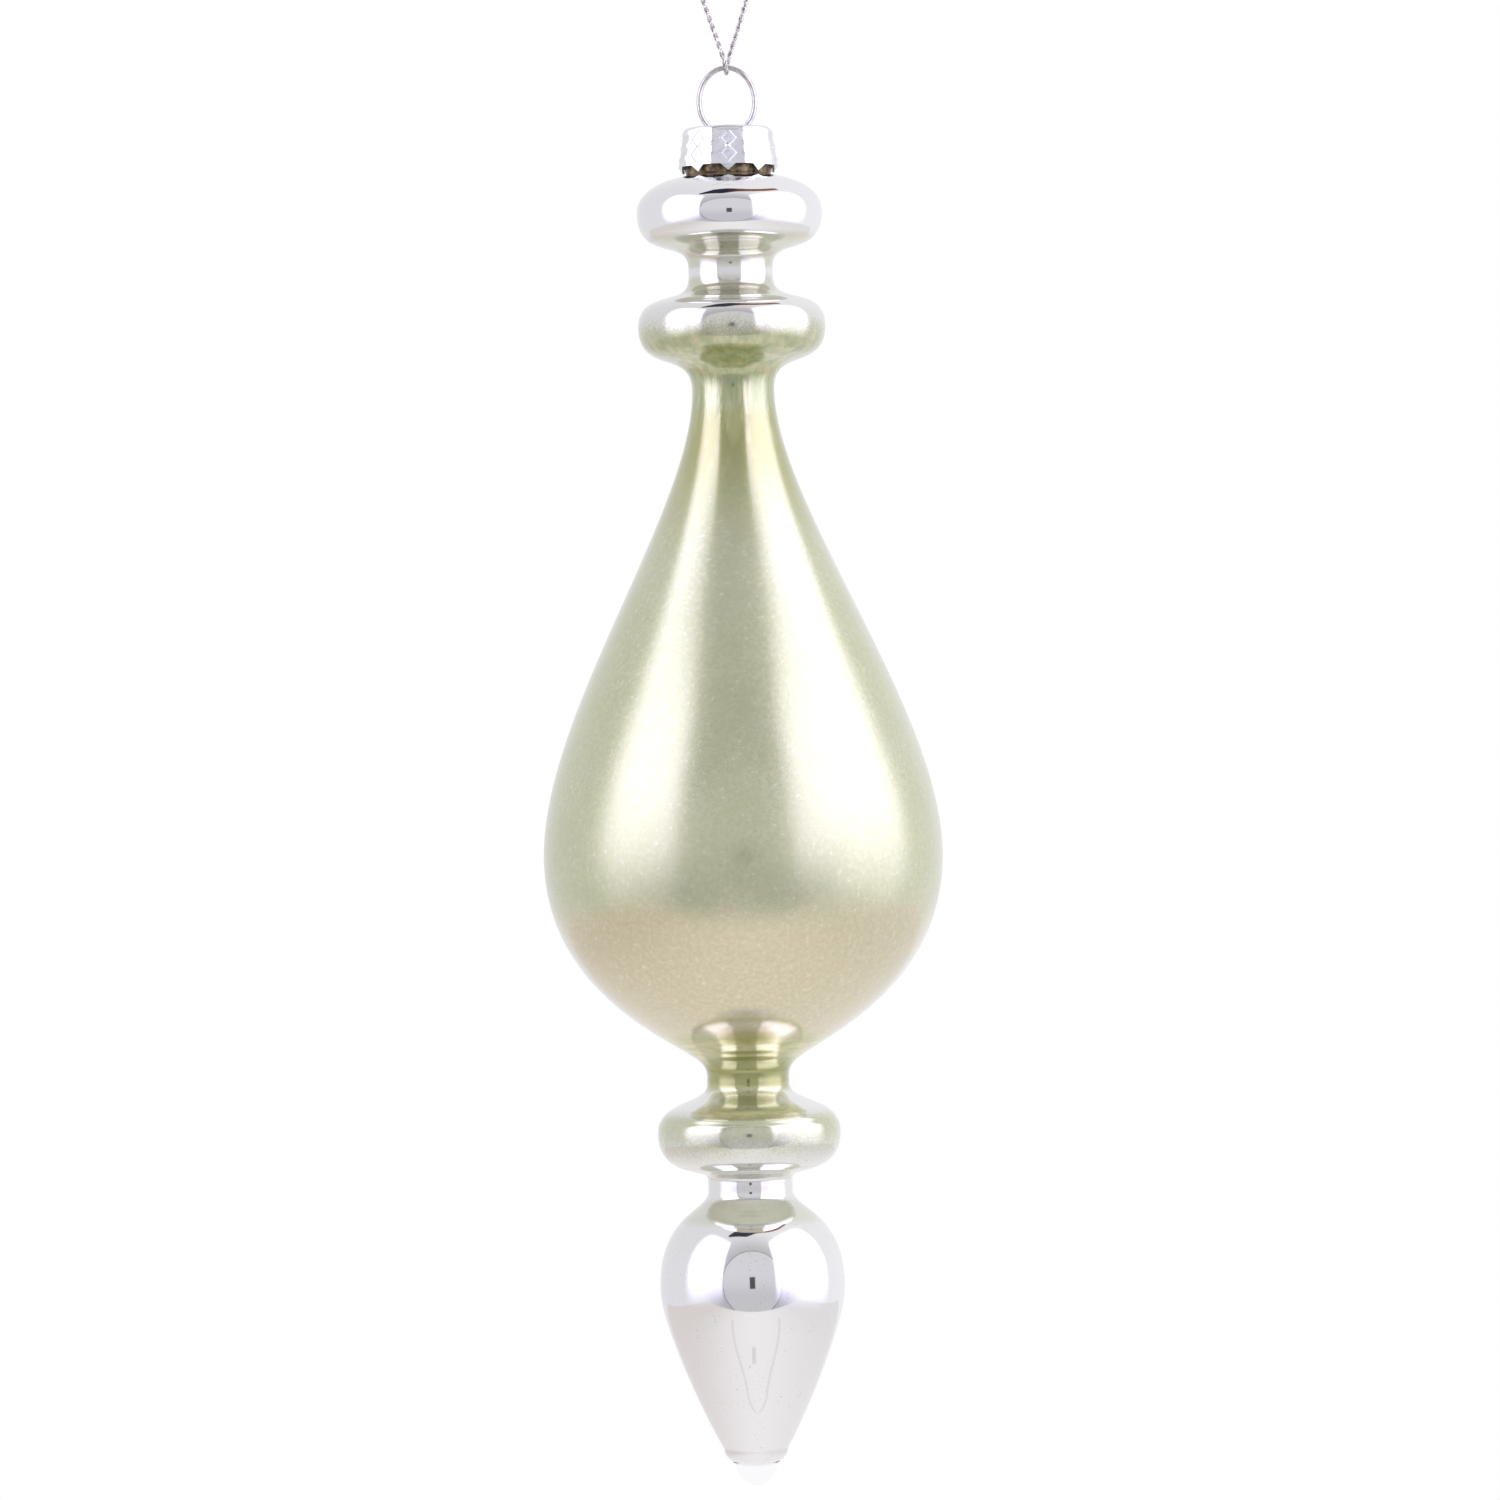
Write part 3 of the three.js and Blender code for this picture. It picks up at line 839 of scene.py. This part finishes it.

# Marks on the small drop, in metres: a run that widens from a point up, and a short grey dash inside it.
RUN_BAND = (-0.2634, -0.248, 0.0004)
RUN_POINT = (-0.2634, -0.2605)
RUN_POINT_HALF = 0.0015
RUN_WIDENS = (-0.2612, -0.2489)
RUN_WIDENS_BY = 0.0022
RUN_MIDDLE = 0.0004
RUN_LINE = (0.0003, 0.00008)
GREY_DASH_BAND = (-0.2552, -0.2525, 0.0002)
GREY_DASH_HALF = (0.0004, 0.0002)
FRONT_HALF = (0.0, -0.001)


class GlassNodes(Nodes):
    """The glass's finish: silver inside, pale green pearl lacquer on the teardrop, sprayed thin beyond it."""

    def __init__(self, material):
        super().__init__(material)
        self.at = self.place()
        self.across, self.depth, self.z = self.split(self.at)[0:3]
        self.fine = self.noise(self.at, 3000, 3, 0.6)
        self.mottle = self.noise(self.at, 1300, 5, 0.7)
        self.cloud = self.noise(self.at, 170, 4, 0.6)
        self.streaks = self.noise(self.stretch(self.at, (1.0, 1.0, 0.12)), 700, 3, 0.6)
        self.upper_neck = self.band(UPPER_NECK_BAND)
        self.lower_neck = self.band(LOWER_NECK_BAND)

    def band(self, ends):
        """1 between two heights and 0 beyond them."""
        low, high, soft = ends
        return self.times(
            self.ramp(self.z, low - soft, low + soft),
            self.ramp(self.z, high + soft, high - soft),
        )

    def patches(self, scale, detail, rough, low, high):
        """1 in the patches of a noise, and 0 between them."""
        return self.ramp(self.noise(self.at, scale, detail, rough), low, high)

    def lacquer_cover(self):
        """How much lacquer covers the silver: all of the teardrop, and specks of spray above and below it."""
        edge = self.plus(self.z, self.centred(self.cloud, 0.003))
        fade_up = self.ramp(edge, *SPRAY_FADES_ABOVE, 1.0, 0.12)
        fade_down = self.ramp(edge, *SPRAY_FADES_BELOW, 0.15, 1.0)
        # Thinner spray at the lower neck's foot, so that the silver shows through there: in part a painted
        # highlight.
        thin = self.times(self.band(THIN_SPRAY_AND_HIGHLIGHT_BAND), 0.6)
        starts = self.ramp(self.z, *SPRAY_STARTS)
        ends = self.ramp(self.z, *SPRAY_ENDS)
        spray = self.times(fade_up, fade_down, self.minus(1.0, thin), starts, ends)
        specks = self.ramp(self.plus(spray, self.centred(self.fine, 1.1)), 0.34, 0.74)
        stained = self.most(*[self.band(rim) for rim in STAINED_RIMS])
        return self.most(self.mix_value(0.45, spray, specks), self.times(stained, 0.45))

    def lacquer_colour(self):
        """Mottled green with a warm reflection of the pale table painted in where the teardrop turns in
        below, olive and gold on the two necks.
        """
        mottled = self.ramp(self.mottle, 0.36, 0.66)
        green = self.mix(mottled, *LACQUER)
        green = self.mix(self.ramp(self.cloud, 0.4, 0.66, 0, 0.5), green, LACQUER_CLOUD)
        # Painted reflection of the pale table: a warm tint below the belly, with a wavy top edge.
        wavy = self.plus(self.z, self.centred(self.cloud, 0.006))
        below = self.times(self.ramp(wavy, *TABLE_REFLECTION_STARTS), self.ramp(self.z, *TABLE_REFLECTION_ENDS))
        green = self.mix(below, green, self.mix(mottled, *LACQUER_PAINTED_TABLE_REFLECTION))
        flecks = self.times(self.patches(1300, 2, 0.5, 0.66, 0.74), 0.3)
        green = self.mix(flecks, green, PEARL_FLECK)
        green = self.mix(self.ramp(self.z, *GREEN_DEEPENS, 0, 0.9), green, LACQUER_AT_TOP)

        olive = self.mix(self.ramp(self.streaks, 0.35, 0.65), *OLIVE)
        rings = self.noise(self.stretch(self.at, (0.3, 0.3, 1.6)), 900, 3, 0.6)
        gold = self.mix(self.ramp(rings, 0.35, 0.65), *GOLD)
        # Darker gold round the lower neck's waist: thicker lacquer, and in part painted shade that keeps the
        # highlights off it.
        gold = self.mix(self.times(self.band(DEEP_GOLD_SHADE_BAND), 0.85), gold, DEEP_GOLD_AND_SHADE)
        green = self.mix(self.upper_neck, green, olive)
        green = self.mix(self.lower_neck, green, gold)
        # Pale band at the lower neck's foot: less lacquer, and in part a painted highlight where the neck's
        # highlights show.
        green = self.mix(self.times(self.band(NECK_FOOT_HIGHLIGHT_BAND), 0.75), green, NECK_FOOT_HIGHLIGHT)
        drips = self.times(self.ramp(self.streaks, 0.5, 0.7), self.ramp(self.z, *DRIPS_START, 0, 0.5))
        return self.mix(drips, green, DRIP)

    def run_and_dash(self):
        """On the front of the small drop, a narrow pointed line with a short grey dash down the middle inside
        it.
        """
        point = self.math("POWER", self.ramp(self.z, *RUN_POINT, kind="LINEAR"), 0.5)
        widening = self.ramp(self.z, *RUN_WIDENS, 0, RUN_WIDENS_BY)
        half_width = self.plus(self.times(point, RUN_POINT_HALF), widening)
        off_line = self.away(self.away(self.across, RUN_MIDDLE), half_width)
        run = self.times(self.ramp(off_line, *RUN_LINE), self.band(RUN_BAND), 0.22)
        # A short grey dash down the middle of the drop's front, inside the run.
        grey_dash = self.ramp(self.away(self.across, 0.0), *GREY_DASH_HALF)
        grey_dash = self.times(grey_dash, self.band(GREY_DASH_BAND), 0.35)
        return self.times(self.most(run, grey_dash), self.ramp(self.depth, *FRONT_HALF))

    def worn(self, colour):
        """The colour with specks of rust and dust, more of them on the silver below, and the run and the grey
        dash on the small drop.
        """
        rust = self.times(
            self.patches(2300, 2, 0.55, 0.66, 0.72),
            self.patches(240, 2, 0.5, 0.4, 0.62),
            self.ramp(self.z, *RUST_GROWS, 0.12, 0.6),
        )
        dust = self.times(
            self.patches(2700, 2, 0.5, 0.58, 0.7),
            self.patches(90, 2, 0.5, 0.35, 0.65),
            self.ramp(self.z, *DUST_GROWS, 0.1, 0.5),
        )
        colour = self.mix(rust, colour, RUST)
        colour = self.mix(dust, colour, DUST)
        return self.mix(self.run_and_dash(), colour, RUN_AND_DASH_GREY)

    def roughness(self, lacquer):
        """Satin lacquer, glossier on the necks and above and below the belly, and clear silver."""
        belly = self.times(self.band(BELLY_BAND), 0.03)
        satin = self.plus(0.26, belly, self.centred(self.mottle, 0.12))
        satin = self.mix_value(self.most(self.upper_neck, self.lower_neck), satin, 0.11)
        satin = self.mix_value(self.ramp(self.z, *GLOSS_GROWS_DOWN), satin, 0.14)
        satin = self.mix_value(self.ramp(self.z, *GLOSS_GROWS_UP), satin, 0.2)
        silver = self.plus(0.055, self.centred(self.cloud, 0.04))
        return self.mix_value(lacquer, silver, satin)

    def coat_roughness(self):
        """The coat's gloss. It stays below 0.22, because the denoiser leaves specks where it crosses that."""
        below = self.ramp(self.z, *COAT_GLOSS_GROWS_DOWN, 0.13, 0.215)
        return self.mix_value(self.ramp(self.z, *COAT_GLOSS_GROWS_UP), below, 0.12)

    def height(self, lacquer):
        """Wrinkles in the lacquer under the upper neck, its fine grain, and the glass's own slow waves."""
        dents = self.noise(self.at, 650, 3, 0.6)
        wrinkles = self.plus(self.centred(self.streaks, 1.0), self.centred(dents, 0.8))
        wrinkles = self.times(wrinkles, self.band(WRINKLED_BAND))
        grain = self.times(self.centred(self.mottle, 0.16), lacquer, self.ramp(self.z, *GRAIN_STARTS))
        waves = self.centred(self.noise(self.at, 60, 1, 0.5), 0.6)
        return self.plus(wrinkles, grain, waves)


def glass_material():
    """Silvered and lacquered glass, with the brown, rough ring round its mouth that the cap hides."""
    n = GlassNodes(bpy.data.materials.new("silvered_lacquered_glass"))
    lacquer = n.lacquer_cover()
    colour = n.worn(n.mix(lacquer, SILVER, n.lacquer_colour()))
    mouth = n.ramp(n.plus(n.z, n.centred(n.mottle, 0.0006)), *MOUTH_RING)
    brown = n.mix(n.patches(700, 4, 0.65, 0.38, 0.66), *MOUTH)
    metallic = n.times(n.minus(1.0, n.times(lacquer, 0.2)), n.minus(1.0, n.times(mouth, 0.7)))
    n.surface(
        Base_Color=n.mix(mouth, colour, brown),
        Metallic=metallic,
        Roughness=n.mix_value(mouth, n.roughness(lacquer), 0.4),
        Coat_Weight=lacquer,
        Coat_IOR=n.ramp(n.z, *COAT_BRIGHTENS, 2.0, 2.5),
        Coat_Roughness=n.coat_roughness(),
        Normal=n.bump(n.height(lacquer), 0.5, 0.0002),
    )
    return n.owner


def clear_material():
    """Clear glass that hardly bends what lies behind it, and greys it a little."""
    n = Nodes(bpy.data.materials.new("clear_glass"))
    waves = n.noise(n.place(), 500, 2, 0.5)
    n.surface(
        Base_Color=(0.955, 0.957, 0.972),
        Transmission_Weight=1.0,
        IOR=1.05,
        Roughness=0.0,
        Normal=n.bump(waves, 0.1, 0.0003),
    )
    return n.owner


def metal_material(name, dark, light, scale, rough, bump):
    """A bright metal with fine drawn or pressed variation in colour and gloss."""
    n = Nodes(bpy.data.materials.new(name))
    fine = n.noise(n.place(), scale, 4, 0.6)
    n.surface(
        Base_Color=n.mix(n.ramp(fine, 0.3, 0.7), dark, light),
        Metallic=1.0,
        Roughness=n.ramp(fine, 0.3, 0.75, *rough),
        Normal=n.bump(fine, bump, 0.00005),
    )
    return n.owner


def thread_material():
    """Metallised film wound on a soft core: dark, with bright patches painted in at random as glints."""
    n = Nodes(bpy.data.materials.new("metallic_thread"))
    place = n.place()
    fine = n.noise(place, 2600, 3, 0.6)
    painted_glints = n.ramp(n.noise(place, 4200, 1, 0.5), 0.45, 0.62)
    n.surface(
        # Painted glints: bright patches mixed into the thread's dark colour.
        Base_Color=n.mix(painted_glints, (0.34, 0.325, 0.315), (0.9, 0.87, 0.83)),
        Metallic=0.9,
        Roughness=n.ramp(fine, 0.3, 0.7, 0.2, 0.4),
        Normal=n.bump(fine, 0.5, 0.0001),
    )
    return n.owner


aluminium = metal_material(
    "stamped_aluminium",
    dark=(0.78, 0.8, 0.84),
    light=(0.88, 0.895, 0.92),
    scale=500,
    rough=(0.2, 0.3),
    bump=0.02,
)
steel = metal_material(
    "spring_wire",
    dark=(0.48, 0.465, 0.45),
    light=(0.66, 0.645, 0.63),
    scale=1500,
    rough=(0.12, 0.24),
    bump=0.1,
)
yarn = thread_material()
shell.data.materials.append(glass_material())
tip.data.materials.append(clear_material())
cap.data.materials.clear()
for piece, material in ((cap, aluminium), (wire, steel), (thread, yarn), (knot, yarn)):
    piece.data.materials.append(material)


# ---------------------------------------------------------------- studio
SOFTBOX_TINT = (0.75, 0.68, 1.0)
SOFTBOX_TOP = 0.8  # metres, as all of a softbox's places


def softbox(name, inner, outer, low, radiance, fades):
    """An upright area light that faces the ornament, between two (x, y) places in metres.

    It is brightest inside. The fades are the shares of its size over which it fades away at its inner
    edge, its outer edge, its bottom and its top.
    """
    inner, outer = Vector((*inner, 0)), Vector((*outer, 0))
    width, tall = (outer - inner).length, SOFTBOX_TOP - low
    data = bpy.data.lights.new(name, "AREA")
    data.shape = "RECTANGLE"
    data.size = width
    data.size_y = tall
    data.energy = radiance * math.pi * width * tall
    data.color = SOFTBOX_TINT
    light = bpy.data.objects.new(name, data)
    bpy.context.scene.collection.objects.link(light)
    up = Vector((0, 0, 1))
    middle = (inner + outer) / 2 + up * (low + SOFTBOX_TOP) / 2
    along = (outer - inner).normalized()
    facing = along.cross(up)
    turned = facing.dot(-middle) < 0
    if turned:
        along, facing = -along, -facing
    light.matrix_world = placed(along, up, -facing, middle)
    light.visible_camera = False

    n = Nodes(data)
    lamp = n.tree.nodes["Emission"]
    across, upwards = n.split(n.node("ShaderNodeNewGeometry").outputs["Parametric"])[0:2]
    inside, outside, bottom, top = fades
    if turned:
        sides = n.ramp(across, 1.0, 1.0 - inside), n.ramp(across, 0.0, outside)
    else:
        sides = n.ramp(across, 0.0, inside), n.ramp(across, 1.0, 1.0 - outside)
    shine = n.times(*sides, n.ramp(upwards, 0.0, bottom), n.ramp(upwards, 1.0, 1.0 - top))
    n.put(lamp, "Strength", shine)


softbox(
    "left_softbox",
    inner=(-0.459, -0.655),
    outer=(-0.797, 0.07),
    low=-0.53,
    radiance=2.05,
    fades=(0.1, 0.3, 0.5, 0.3),
)
softbox(
    "right_softbox",
    inner=(0.363, -0.713),
    outer=(0.84, 0.36),
    low=-0.55,
    radiance=2.0,
    fades=(0.08, 0.28, 0.48, 0.3),
)


def emission(name, colour, turns_into=None):
    """A shadeless material in one colour, or one that turns into another along an axis.

    turns_into is then the axis, the two places on it in metres, and the other colour.
    """
    n = Nodes(bpy.data.materials.new(name), empty=True)
    if turns_into:
        axis, start, stop, other = turns_into
        colour = n.mix(n.ramp(n.split(n.place())[axis], start, stop), colour, other)
    glow = n.node("ShaderNodeEmission", {"Color": colour})
    n.node("ShaderNodeOutputMaterial", {"Surface": glow.outputs[0]})
    return n.owner


def stage_piece(piece, material):
    """Puts a thing in the studio that shows only where it is mirrored."""
    piece.data.materials.append(material)
    piece.visible_camera = False


# What the glass mirrors from the camera's side: a round reflector, a camera and a lamp's boom.
REFLECTOR_CENTRE = (1.4, -1065, -158)
REFLECTOR_RADIUS = 790
REFLECTOR_SIDES = 96
REFLECTOR_RIM_OUTSIDE = 5
REFLECTOR_RIM_BEHIND = 10
REFLECTOR_RIM_RADIUS = 11
CAMERA_BODY = ((-58, 62), (-1055, -1020), (-255, -90))
BOX_FACES = [(0, 1, 3, 2), (4, 6, 7, 5), (0, 4, 5, 1), (2, 3, 7, 6), (0, 2, 6, 4), (1, 5, 7, 3)]
BOOM_DISTANCE = 720
BOOM_DROP = 70
BOOM_FINE = 8

# The boom's bends: azimuth from the camera's direction and elevation, both in degrees, and its radius there.
BOOM = (
    (-50, 51, 22),
    (-38, 59, 78),
    (-22, 65, 140),
    (0, 70, 125),
    (25, 69, 90),
    (50, 65, 72),
    (75, 61, 56),
    (104, 55, 38),
)


def make_reflector():
    """The reflector behind the camera, with its rim. It glows in place of the light that it throws back,
    painted brighter towards its top.
    """
    x, y, z = REFLECTOR_CENTRE

    def circle(radius, back):
        turn = np.arange(REFLECTOR_SIDES) * FULL_TURN / REFLECTOR_SIDES
        return [(x + radius * math.cos(a), y + back, z + radius * math.sin(a)) for a in turn]

    # Painted light: the reflector's glow, darker low down and brighter towards its top.
    cloth = emission("reflector_cloth", (0.62, 0.61, 0.65), ("Z", -0.42, -0.02, (0.74, 0.73, 0.77)))
    disc = circle(REFLECTOR_RADIUS, 0)
    stage_piece(link_mesh("reflector", disc, [tuple(range(REFLECTOR_SIDES))], smooth=False), cloth)
    ring = circle(REFLECTOR_RADIUS + REFLECTOR_RIM_OUTSIDE, REFLECTOR_RIM_BEHIND)
    rim = link_mesh("reflector_rim", *tube(np.array([*ring, ring[0]]), REFLECTOR_RIM_RADIUS, sides=8))
    stage_piece(rim, emission("reflector_rim", (0.26, 0.25, 0.28)))


def make_camera_body():
    """The photographer's camera, a dark box in front of the reflector."""
    corners = [(x, y, z) for x in CAMERA_BODY[0] for y in CAMERA_BODY[1] for z in CAMERA_BODY[2]]
    body = link_mesh("camera_body", corners, BOX_FACES, smooth=False)
    stage_piece(body, emission("camera_black", (0.09, 0.09, 0.1)))


def make_boom():
    """The boom of a lamp, dark over the camera and copper-coloured on the right."""
    route = []
    for azimuth, rise, _ in BOOM:
        turn, climb = math.radians(azimuth), math.radians(rise)
        flat = BOOM_DISTANCE * math.cos(climb)
        height = BOOM_DISTANCE * math.sin(climb) - BOOM_DROP
        route.append((flat * math.sin(turn), -flat * math.cos(turn), height))
    line = catmull(route, BOOM_FINE)
    thickness = [radius for _, _, radius in BOOM]
    radii = np.interp(np.arange(len(line)) / BOOM_FINE, np.arange(len(BOOM)), thickness)
    boom = link_mesh("boom", *tube(line, radii, sides=16))
    copper = emission("boom_copper", (0.26, 0.12, 0.07), ("X", 0.2, -0.02, (0.03, 0.03, 0.045)))
    stage_piece(boom, copper)


make_reflector()
make_camera_body()
make_boom()

# Painted light on the table top, which runs from left to right: its left, its middle and its right.
TABLE_Z = -505
TABLE_X = (-900, 900)
TABLE_Y = (-512, 1000)
TABLE_LIGHT_LEVELS = ((0.76, 0.71, 0.69, 1), (0.96, 0.93, 0.93, 1), (0.84, 0.82, 0.82, 1))
TABLE_LIGHT_HALF = 0.6  # metres to either side
TABLE_MIDDLE = 0.52
WHITE = (1, 1, 1)


def make_table():
    """A pale table top under the ornament, plain white to the camera, and where mirrored glowing with painted
    light that is brightest in its middle.
    """
    (left, right), (front, back) = TABLE_X, TABLE_Y
    corners = [(left, front), (right, front), (right, back), (left, back)]
    table = link_mesh("table", [(x, y, TABLE_Z) for x, y in corners], [(0, 1, 2, 3)], smooth=False)
    n = Nodes(bpy.data.materials.new("pale_table"), empty=True)
    # Painted light: where mirrored, the table is darker on its left and brightest in its middle.
    share = n.ramp(n.split(n.place())["X"], -TABLE_LIGHT_HALF, TABLE_LIGHT_HALF, kind="LINEAR")
    light_level = n.node("ShaderNodeValToRGB", {0: share})
    light_stops = light_level.color_ramp
    light_stops.interpolation = "EASE"
    light_stops.elements[0].color = TABLE_LIGHT_LEVELS[0]
    light_stops.elements[1].color = TABLE_LIGHT_LEVELS[2]
    light_stops.elements.new(TABLE_MIDDLE).color = TABLE_LIGHT_LEVELS[1]
    pale = n.node("ShaderNodeEmission", {"Color": light_level.outputs["Color"]})
    white = n.node("ShaderNodeEmission", {"Color": WHITE})
    mixed = n.node("ShaderNodeMixShader", {0: n.seen_straight(), 1: pale.outputs[0], 2: white.outputs[0]})
    n.node("ShaderNodeOutputMaterial", {"Surface": mixed.outputs[0]})
    table.data.materials.append(n.owner)


def make_world():
    """White behind the ornament and to the camera, and a greyer room on the camera's side."""
    world = bpy.data.worlds.new("studio")
    bpy.context.scene.world = world
    n = Nodes(world, empty=True)
    way = n.split(n.node("ShaderNodeTexCoord").outputs["Generated"])
    sides = n.mix(n.ramp(way["X"], -0.7, 0.7), (0.82, 0.815, 0.84), (0.95, 0.945, 0.97))
    front = n.mix(n.ramp(way["Z"], -0.45, 0.15), (0.48, 0.47, 0.51), (0.53, 0.52, 0.56))
    room = n.mix(n.ramp(way["Y"], -0.88, -0.3), front, sides)
    background = n.node("ShaderNodeBackground", {"Color": n.mix(n.seen_straight(), room, WHITE)})
    n.node("ShaderNodeOutputWorld", {"Surface": background.outputs[0]})


make_table()
make_world()
bpy.context.scene.view_settings.view_transform = "Standard"
